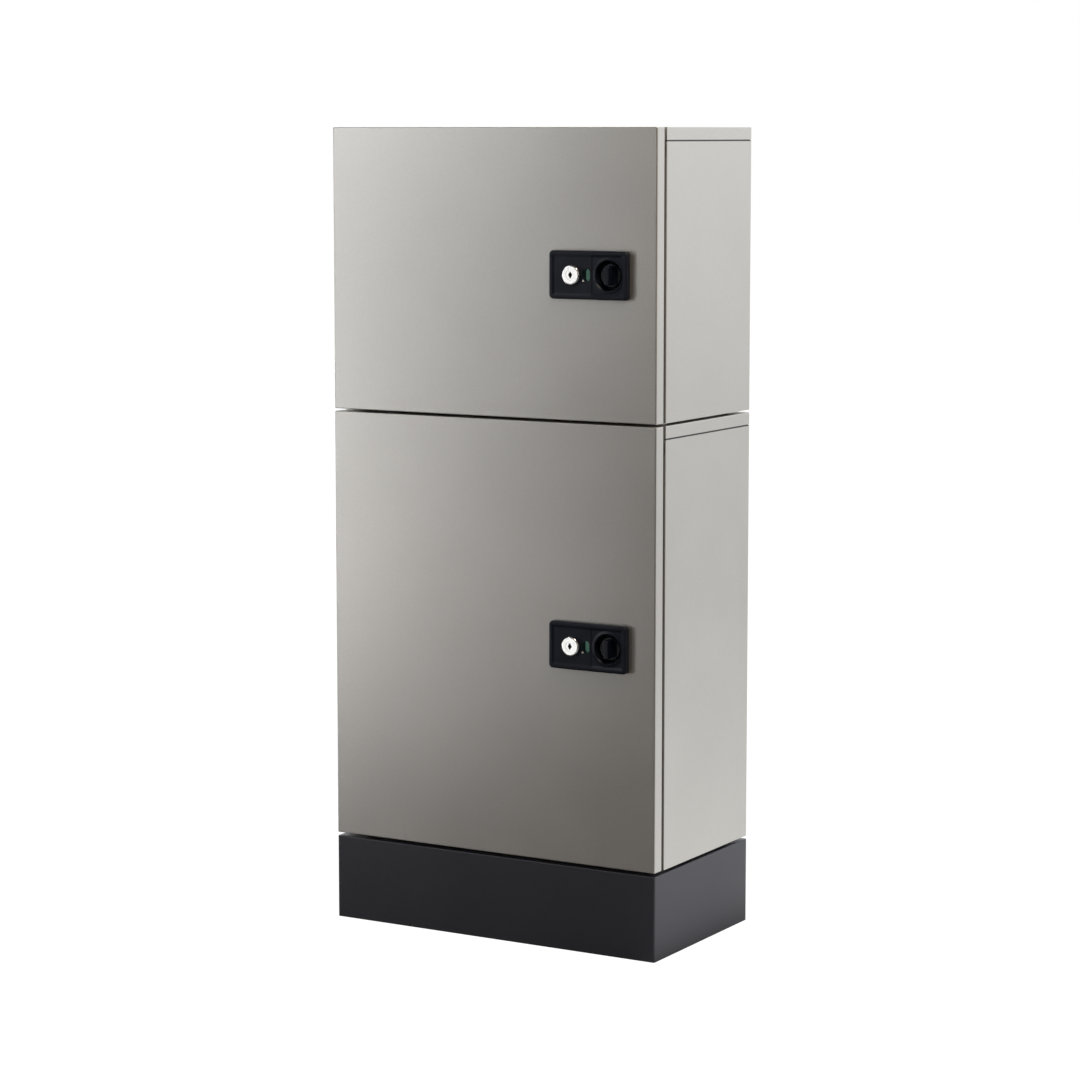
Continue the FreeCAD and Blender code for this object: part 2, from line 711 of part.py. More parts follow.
def lock_slider(middle):
    """Bar between key and knob; the key's pin pulls it away from the knob's lock disc."""
    x = lock_x + key_x
    pin_x = x + slider_travel() / 2
    front = plate_face + slider_y
    tip = lock_x + knob_x - lock_disc_radius - face_gap
    bar = block(x - plug_radius, tip, front, front + slider_thickness,
                middle + slider_low, middle + slider_high)
    bar = bar.cut(block(tip - nose_length, tip + 1, front - 1, front + slider_thickness + 1,
                        middle + slider_low - 1, middle + nose_low))
    slot_half = drive_pin_radius + drive_slot_slack
    shallow = drive_pin_throw * math.cos(math.radians(key_turn / 2))
    slot = block(pin_x - slot_half, pin_x + slot_half, front - 1, front + slider_thickness + 1,
                 middle - drive_pin_throw - slot_half, middle - shallow + slot_half)
    return bar.cut(slot)


# ---------------------------------------------------------------- knob, latch and indicator
def turn_knob(middle):
    """Disc sunk in its cup, with a tall grip bar across it."""
    x = lock_x + knob_x
    front, back = plate_face + knob_sunk, cup_floor - face_gap
    disc = rod_y(x, middle, knob_radius, front, back)
    disc = disc.makeFillet(knob_round, all_at_y(disc, front))
    grip = rounded_plate_y(x - grip_width / 2, x + grip_width / 2, middle - grip_length / 2,
                           middle + grip_length / 2, grip_corner, plate_face - grip_proud, back)
    grip = grip.makeFillet(grip_round, all_at_y(grip, plate_face - grip_proud))
    knob = fuse([disc, grip])
    return knob.cut(rod_y(x, middle, spindle_radius, front + spindle_cover, back + 1))


def involute_flank(base, tip, points):
    """(radius, angle swept past the base circle) along an involute, from the base circle to the tip."""
    flank = []
    for k in range(points):
        radius = base + (tip - base) * k / (points - 1)
        pressure = math.acos(min(1.0, base / radius))
        flank.append((radius, math.tan(pressure) - pressure))
    return flank


def pinion_outline(x, z):
    """Involute spur gear; a tooth gap faces -X, where the rack is."""
    base, tip = pitch_radius * math.cos(pressure_angle), pitch_radius + gear_module
    root = pitch_radius - dedendum
    at_pitch = math.tan(pressure_angle) - pressure_angle
    half_tooth = (tooth_pitch / 2 - backlash / 2) / pitch_radius / 2
    flank = involute_flank(base, tip, 6)
    outline = []
    for tooth in range(pinion_teeth):
        middle = math.pi + 2 * math.pi * (tooth + 0.5) / pinion_teeth
        rising = [(root, -half_tooth - at_pitch)] + [(r, a - half_tooth - at_pitch) for r, a in flank]
        falling = [(r, -a) for r, a in reversed(rising)]
        for radius, angle in rising + falling:
            outline.append((x + radius * math.cos(middle + angle), z + radius * math.sin(middle + angle)))
    return outline


def knob_spindle(middle):
    """Shaft from the knob to the latch, carrying the indicator's pinion and the notched lock disc."""
    x = lock_x + knob_x
    front, back = plate_face + knob_sunk + spindle_cover, latch_front
    shaft = rod_y(x, middle, spindle_radius, front, back)
    end = latch_back + latch_nut_thickness + spindle_stub
    flat = block(x - square / 2, x + square / 2, back, end, middle - square / 2, middle + square / 2)
    pinion = prism_y(pinion_outline(x, middle), gear_front, gear_front + gear_width)
    disc_front = plate_face + slider_y - disc_overlap
    disc_back = plate_face + slider_y + slider_thickness + disc_overlap
    disc = rod_y(x, middle, lock_disc_radius, disc_front, disc_back)
    notch_half = (slider_high - nose_low) / 2 + face_gap
    notch_middle = (slider_high + nose_low) / 2
    notch = block(x + notch_middle - notch_half, x + notch_middle + notch_half, disc_front - 1, disc_back + 1,
                  middle + lock_disc_radius - disc_notch_depth, middle + lock_disc_radius + 1)
    return fuse([shaft, flat, pinion, disc.cut(notch)])


def latch_cam(middle):
    """Arm on the spindle's square end; hangs down when unlocked, swings behind the strike to lock."""
    x, r = lock_x + knob_x, latch_width / 2
    tip_r = r * latch_tip_share
    eye = rod_y(x, middle, r, latch_front, latch_back)
    arm = prism_y([(x - r, middle), (x + r, middle), (x + tip_r, middle - latch_reach),
                   (x - tip_r, middle - latch_reach)], latch_front, latch_back)
    s = square / 2 + square_slack
    return fuse([eye, arm]).cut(block(x - s, x + s, latch_front - 1, latch_back + 1, middle - s, middle + s))


def latch_nut(middle):
    x = lock_x + knob_x
    corners = [(x + latch_nut_radius * math.cos(math.radians(60 * k)),
                middle + latch_nut_radius * math.sin(math.radians(60 * k))) for k in range(6)]
    nut = prism_y(corners, latch_back, latch_back + latch_nut_thickness)
    s = square / 2 + square_slack
    return nut.cut(block(x - s, x + s, latch_back - 1, latch_back + 10, middle - s, middle + s))


def indicator_slide(middle):
    """Flag behind the window, on an arm with the rack that the pinion drives downwards."""
    flag_x = lock_x + window_x
    low = middle - window_height / 2 - flag_margin
    high = middle + window_height / 2 + indicator_travel
    rack_front, rack_back = gear_front, gear_front + gear_width
    flag_front = plate_face + window_depth + lens_thickness + face_gap
    flag_half = window_width / 2 + window_wall
    flag = block(flag_x - flag_half, flag_x + flag_half, flag_front, rack_front, low, high)
    pitch_line = lock_x + knob_x - pitch_radius
    root_line = pitch_line - dedendum
    arm = block(flag_x - flag_half, root_line, rack_front, rack_back, low, high)
    slope = math.tan(pressure_angle)
    half_tooth = (tooth_pitch / 2 - backlash / 2) / 2
    root_half, tip_half = half_tooth + dedendum * slope, half_tooth - gear_module * slope
    teeth = []
    for k in range(-(rack_teeth // 4), rack_teeth - rack_teeth // 4):
        z = middle + k * tooth_pitch
        teeth.append(prism_y([(root_line, z - root_half), (pitch_line + gear_module, z - tip_half),
                              (pitch_line + gear_module, z + tip_half), (root_line, z + root_half)],
                             rack_front, rack_back))
    slide = fuse([flag, arm] + teeth)
    return slide.common(block(flag_x - 50, flag_x + 50, flag_front, rack_back, low, high))


# ---------------------------------------------------------------- fittings on the cabinet front
def strike_plate(middle):
    """Wear plate on the opening's lip that the latch swings behind."""
    edge = half - stile_width
    back = body_front + lip_depth
    plate = block(edge, edge + strike_width, back, back + strike_thickness,
                  middle - strike_height / 2, middle + strike_height / 2)
    leg = block(edge + sheet, edge + sheet + strike_thickness, back - lip_depth + 2 * sheet, back,
                middle - strike_height / 2, middle + strike_height / 2)
    return fuse([plate, leg])


def door_magnet(z0):
    low = z0 + rail_height + magnet_above_rail
    return block(half - trim_inset - magnet_width / 2, half - trim_inset + magnet_width / 2,
                 door_back + face_gap, body_front, low, low + magnet_length)


def door_bumpers(z0, z1):
    return [rod_y(half - trim_inset, z, bumper_radius, door_back + face_gap, body_front)
            for z in (z0 + rail_height / 2, z1 - rail_height / 2)]


# ---------------------------------------------------------------- plinth and stacking hardware
def plinth_shell():
    """Folded steel ring with flanges turned in at the top and at the floor."""
    front, back, top = door_face, body_back, plinth_height
    shell = round_uprights(block(-half, half, front, back, 0, top), plinth_bend)
    shell = shell.makeFillet(edge_round, all_at_z(shell, top))
    t = plinth_sheet
    hollow = round_uprights(block(-half + t, half - t, front + t, back - t, t, top - t), plinth_bend - t)
    shell = shell.cut(hollow)
    for inset, low, high in ((plinth_top_flange, top - 2 * t, top + 1), (plinth_foot_flange, -1, 2 * t)):
        shell = shell.cut(block(-half + inset, half - inset, front + inset, back - inset, low, high))
    for x, y in bolt_places:
        shell = shell.cut(rod_z(x, y, bolt_hole_radius, top - 2 * t, top + 1))
    for x in (-anchor_x, anchor_x):
        for y in (front + anchor_inset, back - anchor_inset):
            shell = shell.cut(rod_z(x, y, anchor_radius, -1, 2 * t))
    return shell


def plinth_posts():
    """Angle posts that carry the top flange at the four corners."""
    low, high, t = plinth_sheet, plinth_height - plinth_sheet, plinth_sheet
    set_in = plinth_bend - t + face_gap
    posts = []
    for sx in (-1, 1):
        for sy in (-1, 1):
            x, y = sx * (half - t - set_in), sy * (depth / 2 - t - set_in)
            legs = [block(*sorted((x, x - sx * post_leg)), *sorted((y, y - sy * post_sheet)), low, high),
                    block(*sorted((x, x - sx * post_sheet)), *sorted((y, y - sy * post_leg)), low, high)]
            posts.append(fuse(legs))
    return posts


def hexagon_z(x, y, radius, z0, z1):
    corners = [V(x + radius * math.cos(math.radians(60 * k)), y + radius * math.sin(math.radians(60 * k)), z0)
               for k in range(6)]
    return Part.Face(Part.makePolygon(corners + corners[:1])).extrude(V(0, 0, z1 - z0))


def stack_hardware(floor_z, flange_z, flange_thickness):
    """Bolts, nuts and spacers that clamp the cabinet whose floor is at floor_z to the sheet at flange_z."""
    bolts, nuts, spacers = [], [], []
    under = flange_z - flange_thickness
    for x, y in bolt_places:
        seat = floor_z + sheet
        shank = rod_z(x, y, bolt_radius, under - nut_height - bolt_end, seat)
        bolts.append(fuse([shank, hexagon_z(x, y, bolt_head_radius, seat, seat + bolt_head)]))
        nut = hexagon_z(x, y, nut_corner_radius, under - nut_height, under)
        nuts.append(nut.cut(rod_z(x, y, bolt_radius, under - nut_height - 1, under + 1)))
        spacer = rod_z(x, y, spacer_radius, flange_z, floor_z)
        spacers.append(spacer.cut(rod_z(x, y, bolt_hole_radius, flange_z - 1, floor_z + 1)))
    return bolts, nuts, spacers


# ---------------------------------------------------------------- assembly
def compartment(name, z0, z1, bolted_roof):
    middle = (z0 + z1) / 2
    parts[name + "_cabinet_shell"] = [cabinet_shell(z0, z1)]
    parts[name + "_roof_cap"] = [roof_cap(z1, bolted_roof)]
    parts[name + "_floor_pan"] = [floor_pan(z0)]
    parts[name + "_door_gasket"] = [door_gasket(z0, z1)]
    parts[name + "_door_skin"] = [door_skin(z0, z1)]
    parts[name + "_door_liner"] = [door_liner(z0, z1)]
    parts[name + "_door_stiffener"] = [door_stiffener(z0, z1)]
    parts[name + "_lock_plate"] = [lock_plate(middle)]
    parts[name + "_lock_seal"] = [lock_seal(middle)]
    parts[name + "_lock_case"] = [lock_case(middle)]
    parts[name + "_lock_screws"] = lock_screws(middle)
    parts[name + "_indicator_lens"] = [indicator_lens(middle)]
    parts[name + "_key_barrel"] = [key_barrel(middle)]
    parts[name + "_barrel_nut"] = [barrel_nut(middle)]
    parts[name + "_key_plug"] = [key_plug(middle)]
    parts[name + "_plug_cam"] = [plug_cam(middle)]
    parts[name + "_lock_slider"] = [lock_slider(middle)]
    parts[name + "_knob"] = [turn_knob(middle)]
    parts[name + "_knob_spindle"] = [knob_spindle(middle)]
    parts[name + "_latch_cam"] = [latch_cam(middle)]
    parts[name + "_latch_nut"] = [latch_nut(middle)]
    parts[name + "_indicator_slide"] = [indicator_slide(middle)]
    brackets, pins, bushes, screws = hinge_parts(z0, z1)
    parts[name + "_hinge_bushes"] = bushes
    for shared, solids in (("hinge_brackets", brackets), ("hinge_pins", pins), ("hinge_screws", screws),
                           ("strike_plates", [strike_plate(middle)]), ("door_magnets", [door_magnet(z0)]),
                           ("door_bumpers", door_bumpers(z0, z1))):
        parts.setdefault(shared, []).extend(solids)


def main():
    compartment("lower", lower_base, lower_top, True)
    compartment("upper", upper_base, upper_top, False)
    parts["plinth_shell"] = [plinth_shell()]
    parts["plinth_posts"] = plinth_posts()
    stacks = [stack_hardware(lower_base, plinth_height, plinth_sheet),
              stack_hardware(upper_base, lower_top, sheet)]
    for k, shared in enumerate(("stack_bolts", "stack_nuts", "stack_spacers")):
        parts[shared] = [solid for stack in stacks for solid in stack[k]]
    os.makedirs("parts", exist_ok=True)
    for node, solids in parts.items():
        group(solids).exportStep(os.path.join("parts", node + ".step"))
    print(len(parts), "nodes,", sum(len(solids) for solids in parts.values()), "solids")
    print("lock slider travel", round(slider_travel(), 4), "indicator travel", round(indicator_travel, 4))
    print("hinge axis", hinge_x, hinge_y, "lock", lock_x, "knob", lock_x + knob_x, "key", lock_x + key_x)


main()
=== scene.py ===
# %% [markdown]
# # A two-tier parcel locker on a plinth
# Two painted steel boxes, a short one above a tall one, stand on a dark plinth. Each has a left-hung
# door with a black lock plate: a key cylinder, a small window with a vacancy flag, and a turn knob.
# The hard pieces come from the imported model, which is loaded first and never moved. This lesson gives
# them their finishes, models the soft and moulded pieces that need finer shapes, and lights them.

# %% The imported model
import json
import math

import bmesh
import bpy
from mathutils import Matrix, Vector


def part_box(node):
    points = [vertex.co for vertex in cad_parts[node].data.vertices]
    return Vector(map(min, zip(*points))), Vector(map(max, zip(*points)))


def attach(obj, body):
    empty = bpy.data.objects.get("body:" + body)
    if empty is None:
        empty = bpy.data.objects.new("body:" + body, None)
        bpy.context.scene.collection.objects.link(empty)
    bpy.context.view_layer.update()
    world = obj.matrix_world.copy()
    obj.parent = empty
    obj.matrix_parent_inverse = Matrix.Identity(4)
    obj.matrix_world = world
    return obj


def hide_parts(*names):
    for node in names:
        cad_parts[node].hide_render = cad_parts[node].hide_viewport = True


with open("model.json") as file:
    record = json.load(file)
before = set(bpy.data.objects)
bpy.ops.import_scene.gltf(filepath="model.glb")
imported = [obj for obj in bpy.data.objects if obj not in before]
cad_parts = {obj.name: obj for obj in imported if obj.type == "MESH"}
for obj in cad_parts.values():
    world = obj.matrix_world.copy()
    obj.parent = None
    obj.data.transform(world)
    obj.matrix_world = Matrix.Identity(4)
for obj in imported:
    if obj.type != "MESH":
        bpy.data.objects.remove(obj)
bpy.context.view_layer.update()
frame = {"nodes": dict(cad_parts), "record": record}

nodes = frame["nodes"]

# %% [markdown]
# ## Places on the lock
# The two locks are the same moulding at two heights. Their places could be typed in, but reading them
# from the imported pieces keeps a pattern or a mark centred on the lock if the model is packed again.

# %% Places on the lock
MM = 0.001
PER_METRE = 1000.0
tiers = ("lower", "upper")


def middle_of(node):
    low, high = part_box(node)
    return (low + high) / 2


plate_middle = {tier: middle_of(tier + "_lock_plate") for tier in tiers}
plate_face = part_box("lower_lock_plate")[0].y
key_x = middle_of("lower_key_barrel").x
knob_x = middle_of("lower_knob").x
window_x = middle_of("lower_indicator_lens").x
tier_split = (plate_middle["lower"].z + plate_middle["upper"].z) / 2
print("across the plate: key", round(key_x, 4), "window", round(window_x, 4), "knob", round(knob_x, 4))

# %% [markdown]
# ## Small tools for node trees
# A material is a tree of nodes. Each node can be added and wired by hand, but a finish takes dozens.
# These helpers add one node, do one sum, blend two colours and stretch a range, so that each recipe
# below reads as a short list of steps.

# %% Small tools for node trees


def add(tree, kind, sockets=None, **settings):
    """Adds a node. A socket, given by name or number, takes a value or another node's output."""
    made = tree.nodes.new("ShaderNode" + kind)
    for name, value in settings.items():
        setattr(made, name, value)
    for name, value in (sockets or {}).items():
        if isinstance(value, bpy.types.NodeSocket):
            tree.links.new(value, made.inputs[name])
        else:
            made.inputs[name].default_value = value
    return made


def calc(tree, operation, *terms):
    return add(tree, "Math", dict(enumerate(terms)), operation=operation).outputs[0]


def blend_colours(tree, share, first, second):
    """The first colour where share is 0 and the second where it is 1."""
    mix = add(tree, "Mix", {0: share, 6: first, 7: second}, data_type="RGBA")
    return mix.outputs[2]


def stretch(tree, value, low, high, to_low=0.0, to_high=1.0):
    """Maps low..high of a value onto to_low..to_high, and clips it there."""
    return add(tree, "MapRange", {0: value, 1: low, 2: high, 3: to_low, 4: to_high}).outputs[0]


def object_place(tree):
    return add(tree, "TexCoord").outputs["Object"]


print("node-tree tools:", [tool.__name__ for tool in (add, calc, blend_colours, stretch, object_place)])

# %% [markdown]
# ## Effects that finishes share
# A pattern that several finishes use, such as grain or hairlines, is a node group: built once, with named
# inputs and outputs, and placed in each material with its own values. The nodes could be repeated in
# every material instead, but then a change to the pattern would have to be made in each of them.

# %% Effects that finishes share


def effect(name, inputs, outputs):
    """Opens a node group. inputs is {name: default}, and outputs is a list of names; all are numbers."""
    tree = bpy.data.node_groups.new(name, "ShaderNodeTree")
    for label, value in inputs.items():
        socket = tree.interface.new_socket(label, in_out="INPUT", socket_type="NodeSocketFloat")
        socket.default_value = value
    for label in outputs:
        tree.interface.new_socket(label, in_out="OUTPUT", socket_type="NodeSocketFloat")
    return tree, tree.nodes.new("NodeGroupInput").outputs, tree.nodes.new("NodeGroupOutput").inputs


def use(tree, group, **values):
    """Places a group in a tree with its own values, _ standing for a space, and gives its outputs."""
    made = tree.nodes.new("ShaderNodeGroup")
    made.node_tree = group
    for label, value in values.items():
        made.inputs[label.replace("_", " ")].default_value = value
    return made.outputs


print("group tools:", [tool.__name__ for tool in (effect, use)])

# %% [markdown]
# ## Powder coat
# Baked powder paint isn't flat: it flows into a shallow orange peel about a millimetre or two across,
# metallic powder carries tiny flakes that each catch the light a little differently, and the film is
# slightly thicker in some places than in others. An image could hold this, but it would blur close up
# and repeat, so three procedural patterns at three sizes make it, in object space.

# %% Powder coat group
NOISE_SPAN = (0.3, 0.7)  # nearly all of a noise's values lie between these
CLOUDS_PER_METRE = 7.0
powder_coat, given, gives = effect("Powder coat", {"Peel mm": 1.8, "Flake mm": 0.45},
                                   ["Height", "Flake", "Cloud"])
place = object_place(powder_coat)
peel = add(powder_coat, "TexNoise", {
    "Vector": place, "Detail": 2.0, "Roughness": 0.4,
    "Scale": calc(powder_coat, "DIVIDE", PER_METRE, given["Peel mm"])})
powder_coat.links.new(peel.outputs[0], gives["Height"])
flake = add(powder_coat, "TexVoronoi", {
    "Vector": place, "Scale": calc(powder_coat, "DIVIDE", PER_METRE, given["Flake mm"])})
lightness = add(powder_coat, "SeparateColor", {0: flake.outputs["Color"]}).outputs[0]
powder_coat.links.new(lightness, gives["Flake"])
cloud = add(powder_coat, "TexNoise", {"Vector": place, "Scale": CLOUDS_PER_METRE, "Detail": 2.0})
powder_coat.links.new(stretch(powder_coat, cloud.outputs[0], *NOISE_SPAN), gives["Cloud"])
print("group", powder_coat.name, "with", len(powder_coat.nodes), "nodes")

# %% [markdown]
# ## Moulded skin
# A plastic or rubber moulding takes the fine spark-eroded skin of its mould. Two noises do: a fine one
# for the skin's bumps, and a slow one for the faint change of gloss over a moulding's length.

# %% Moulded skin group
SLOW_PER_METRE = 60.0
moulded_skin, given, gives = effect("Moulded skin", {"Grain mm": 0.35}, ["Height", "Gloss change"])
place = object_place(moulded_skin)
grain = add(moulded_skin, "TexNoise", {
    "Vector": place, "Detail": 3.0, "Roughness": 0.6,
    "Scale": calc(moulded_skin, "DIVIDE", PER_METRE, given["Grain mm"])})
moulded_skin.links.new(grain.outputs[0], gives["Height"])
slow = add(moulded_skin, "TexNoise", {"Vector": place, "Scale": SLOW_PER_METRE, "Detail": 3.0})
moulded_skin.links.new(stretch(moulded_skin, slow.outputs[0], *NOISE_SPAN), gives["Gloss change"])
print("group", moulded_skin.name, "with", len(moulded_skin.nodes), "nodes")

# %% [markdown]
# ## Turned rings
# The cylinder, the knob's spindle and other turned pieces keep faint rings from the lathe, round their
# own axis. A ring pattern needs that axis, so the group takes its x, finds which lock the piece belongs
# to from its height, and runs a one-dimensional noise along the radius.

# %% Turned rings group
turned_rings, given, gives = effect("Turned rings", {"Axis x": 0.0, "Ring mm": 0.12},
                                    ["Height", "Shade"])
place = add(turned_rings, "SeparateXYZ", {0: object_place(turned_rings)}).outputs
is_upper = calc(turned_rings, "GREATER_THAN", place[2], tier_split)
centre_z = stretch(turned_rings, is_upper, 0.0, 1.0,
                   plate_middle["lower"].z, plate_middle["upper"].z)
across = calc(turned_rings, "SUBTRACT", place[0], given["Axis x"])
up = calc(turned_rings, "SUBTRACT", place[2], centre_z)
radius = calc(turned_rings, "SQRT", calc(turned_rings, "ADD",
                                         calc(turned_rings, "MULTIPLY", across, across),
                                         calc(turned_rings, "MULTIPLY", up, up)))
radius_mm = calc(turned_rings, "MULTIPLY", radius, PER_METRE)
along = calc(turned_rings, "DIVIDE", radius_mm, given["Ring mm"])
rings = add(turned_rings, "TexNoise", {"W": along, "Scale": 1.0, "Detail": 2.0}, noise_dimensions="1D")
turned_rings.links.new(rings.outputs[0], gives["Height"])
turned_rings.links.new(stretch(turned_rings, rings.outputs[0], *NOISE_SPAN), gives["Shade"])
print("group", turned_rings.name, "with", len(turned_rings.nodes), "nodes")

# %% [markdown]
# ## Handling marks
# Bare metal and clear plastic pick up hairline marks. Noise stretched hard along one direction gives
# short hairlines; two directions, a threshold each, give a natural crossing.

# %% Handling marks group
STROKES = ((0.5, 2600.0), (-0.9, 1900.0))  # each one's turn, and its hairlines per metre across
HAIRS_ALONG = 90.0  # and per metre along
MARK_SPAN = (0.62, 0.72)  # only the peaks of the noise make a mark
handling_marks, given, gives = effect("Handling marks", {"Density": 0.5}, ["Mark"])
place = object_place(handling_marks)
found = []
for turn, squeeze in STROKES:
    turned = add(handling_marks, "Mapping", {
        "Vector": place, "Rotation": (turn, turn / 2, turn), "Scale": (squeeze, HAIRS_ALONG, squeeze / 20)})
    hair = add(handling_marks, "TexNoise", {"Vector": turned.outputs[0], "Scale": 1.0, "Detail": 1.0})
    found.append(stretch(handling_marks, hair.outputs[0], *MARK_SPAN))
marks = calc(handling_marks, "MAXIMUM", *found)
handling_marks.links.new(calc(handling_marks, "MULTIPLY", marks, given["Density"]), gives["Mark"])
print("group", handling_marks.name, "with", len(handling_marks.nodes), "nodes")

# %% [markdown]
# ## Starting a material
# Every finish starts as one Principled shader. What is the same all over a piece is set on the shader's
# own sockets, and what changes over it comes from a pattern. Bumps are given in metres, as on the piece.

# %% Starting a material


def start(name, **shader_values):
    """A new material; shader_values are set on the shader's own sockets, with _ for a space."""
    material = bpy.data.materials.new(name)
    material.use_nodes = True
    shader = material.node_tree.nodes["Principled BSDF"]
    for label, value in shader_values.items():
        shader.inputs[label.replace("_", " ")].default_value = value
    return material, material.node_tree, shader


def bump(tree, shader, height, depth):
    """Lets a height pattern, depth metres deep, tilt the surface."""
    bumped = add(tree, "Bump", {"Height": height, "Distance": depth, "Strength": 1.0})
    tree.links.new(bumped.outputs[0], shader.inputs["Normal"])


print("material tools:", [tool.__name__ for tool in (start, bump)])

# %% [markdown]
# ## Painted finishes
# The boxes are a warm grey metallic powder coat and the plinth a charcoal one. A metallic paint is
# between metal and plastic: most of its light comes off the flakes, so Metallic is high, and the clear
# binder over them gives a thin coat. Roughness follows the cloud, so the satin sheen varies a little.
# The joint under each roof cap's skirt is a narrow groove, and its shade is painted: the wall's paint turns
# nearly black there, between two heights.

# %% Painted finishes
# Painted shade: the near-black colour of the shaded groove under each roof cap.
SEAM_SHADE = (0.012, 0.011, 0.010, 1)
PAINT_COAT_ROUGHNESS = 0.35
FLAKE_SHARE = 0.7
PEEL_DEPTH = 0.02 * MM


def painted(name, dark, light, rough_low, rough_high, metallic, coat, shade_where=None):
    """Powder paint from dark to light. The optional mask function gives 1 in the cap joint, where shade is
    painted.
    """
    material, tree, shader = start(name, Metallic=metallic, Coat_Weight=coat,
                                   Coat_Roughness=PAINT_COAT_ROUGHNESS)
    film = use(tree, powder_coat)
    share = calc(tree, "ADD", calc(tree, "MULTIPLY", film["Flake"], FLAKE_SHARE),
                 calc(tree, "MULTIPLY", film["Cloud"], 1.0 - FLAKE_SHARE))
    colour = blend_colours(tree, share, dark, light)
    # painted shade: the paint turns near-black and loses its metal inside the cap joint
    if shade_where:
        joint = shade_where(tree)
        colour = blend_colours(tree, joint, colour, SEAM_SHADE)
        tree.links.new(stretch(tree, joint, 0.0, 1.0, metallic, 0.0), shader.inputs["Metallic"])
    tree.links.new(colour, shader.inputs["Base Color"])
    rough = stretch(tree, film["Cloud"], 0.0, 1.0, rough_low, rough_high)
    tree.links.new(rough, shader.inputs["Roughness"])
    bump(tree, shader, film["Height"], PEEL_DEPTH)
    return material


CAP_DROP, CAP_SEAM, SEAM_EDGE = 15.0 * MM, 1.9 * MM, 0.03 * MM


def cap_joint_shade(tree):
    """1 inside the joint under either roof cap's skirt, where shade is painted, and 0 elsewhere."""
    height = add(tree, "SeparateXYZ", {0: object_place(tree)}).outputs[2]
    inside = []
    for tier in tiers:
        joint_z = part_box(tier + "_roof_cap")[1].z - CAP_DROP - CAP_SEAM / 2
        inside.append(calc(tree, "COMPARE", height, joint_z, CAP_SEAM / 2 + SEAM_EDGE))
    return calc(tree, "MAXIMUM", *inside)


grey_recipe = ((0.50, 0.487, 0.462, 1), (0.60, 0.587, 0.562, 1), 0.40, 0.44, 0.85, 0.12)
paint = painted("Warm grey metallic powder coat", *grey_recipe)
shell_paint = painted("Warm grey powder coat with painted shade in cap joint", *grey_recipe, shade_where=cap_joint_shade)
plinth_paint = painted("Charcoal powder coat", (0.034, 0.035, 0.048, 1), (0.044, 0.045, 0.061, 1),
                       0.42, 0.48, 0.25, 0.10)
print("paints", [m.name for m in (paint, shell_paint, plinth_paint)])

# %% [markdown]
# ## Black mouldings
# The lock plate and knob are black nylon: the plate semi-gloss with a very fine skin, the knob nearly
# polished, the case behind the door matt. One recipe serves them, the rubber, the hinge bushes and the
# catch housings, each with its own numbers.

# %% Black mouldings


def moulded(name, dark, light, rough_low, rough_high, grain_mm, grain_depth, specular=0.5):
    """Plastic or rubber from dark to light. grain_depth is in millimetres."""
    material, tree, shader = start(name, Specular_IOR_Level=specular)
    skin = use(tree, moulded_skin, Grain_mm=grain_mm)
    tree.links.new(blend_colours(tree, skin["Gloss change"], dark, light), shader.inputs["Base Color"])
    rough = stretch(tree, skin["Gloss change"], 0.0, 1.0, rough_low, rough_high)
    tree.links.new(rough, shader.inputs["Roughness"])
    bump(tree, shader, skin["Height"], grain_depth * MM)
    return material


plate_black = moulded("Semi-gloss black nylon", (0.0078, 0.0102, 0.0185, 1),
                      (0.0108, 0.0138, 0.0245, 1), 0.34, 0.40, 0.4, 0.003, 0.22)
knob_black = moulded("Polished black nylon", (0.006, 0.008, 0.016, 1), (0.008, 0.010, 0.019, 1),
                     0.18, 0.24, 0.4, 0.001, 0.30)
case_black = moulded("Matt black nylon", (0.014, 0.014, 0.015, 1), (0.022, 0.022, 0.024, 1),
                     0.50, 0.60, 0.6, 0.02)
rubber = moulded("Black foamed rubber", (0.010, 0.010, 0.010, 1), (0.020, 0.020, 0.020, 1),
                 0.75, 0.90, 0.7, 0.06, 0.3)
nylon = moulded("Natural nylon", (0.66, 0.64, 0.58, 1), (0.74, 0.72, 0.66, 1),
                0.35, 0.45, 0.5, 0.01)
magnet_black = moulded("Magnet housing plastic", (0.025, 0.025, 0.026, 1), (0.035, 0.035, 0.037, 1),
                       0.40, 0.50, 0.5, 0.01)
print("mouldings", [m.name for m in (plate_black, knob_black, case_black, rubber, nylon, magnet_black)])

# %% [markdown]
# ## Metal finishes
# The key cylinder is nickel-plated and turned, the hinge and stack hardware zinc-plated, the spindle
# brass. Each takes its rings or marks from the groups above; only the colours and depths differ. Zinc
# shows the spangle of its plating too, which the flakes of the powder coat group stand for, enlarged.

# %% Metal finishes
MARK_ROUGHENS = 0.2


def turned_metal(name, dark, light, rough_low, rough_high, axis_x, ring_depth):
    """Turned metal with rings about the axis at axis_x. ring_depth is in millimetres."""
    material, tree, shader = start(name, Metallic=1.0)
    ring = use(tree, turned_rings, Axis_x=axis_x)
    mark = use(tree, handling_marks, Density=0.25)["Mark"]
    tree.links.new(blend_colours(tree, ring["Shade"], dark, light), shader.inputs["Base Color"])
    rough = calc(tree, "ADD", stretch(tree, ring["Shade"], 0.0, 1.0, rough_low, rough_high),
                 calc(tree, "MULTIPLY", mark, MARK_ROUGHENS))
    tree.links.new(rough, shader.inputs["Roughness"])
    bump(tree, shader, ring["Height"], ring_depth * MM)
    return material


nickel = turned_metal("Turned nickel plate", (0.86, 0.86, 0.85, 1), (0.94, 0.94, 0.93, 1),
                      0.13, 0.17, key_x, 0.0008)
brass = turned_metal("Turned brass", (0.60, 0.45, 0.20, 1), (0.72, 0.56, 0.28, 1),
                     0.24, 0.34, knob_x, 0.006)

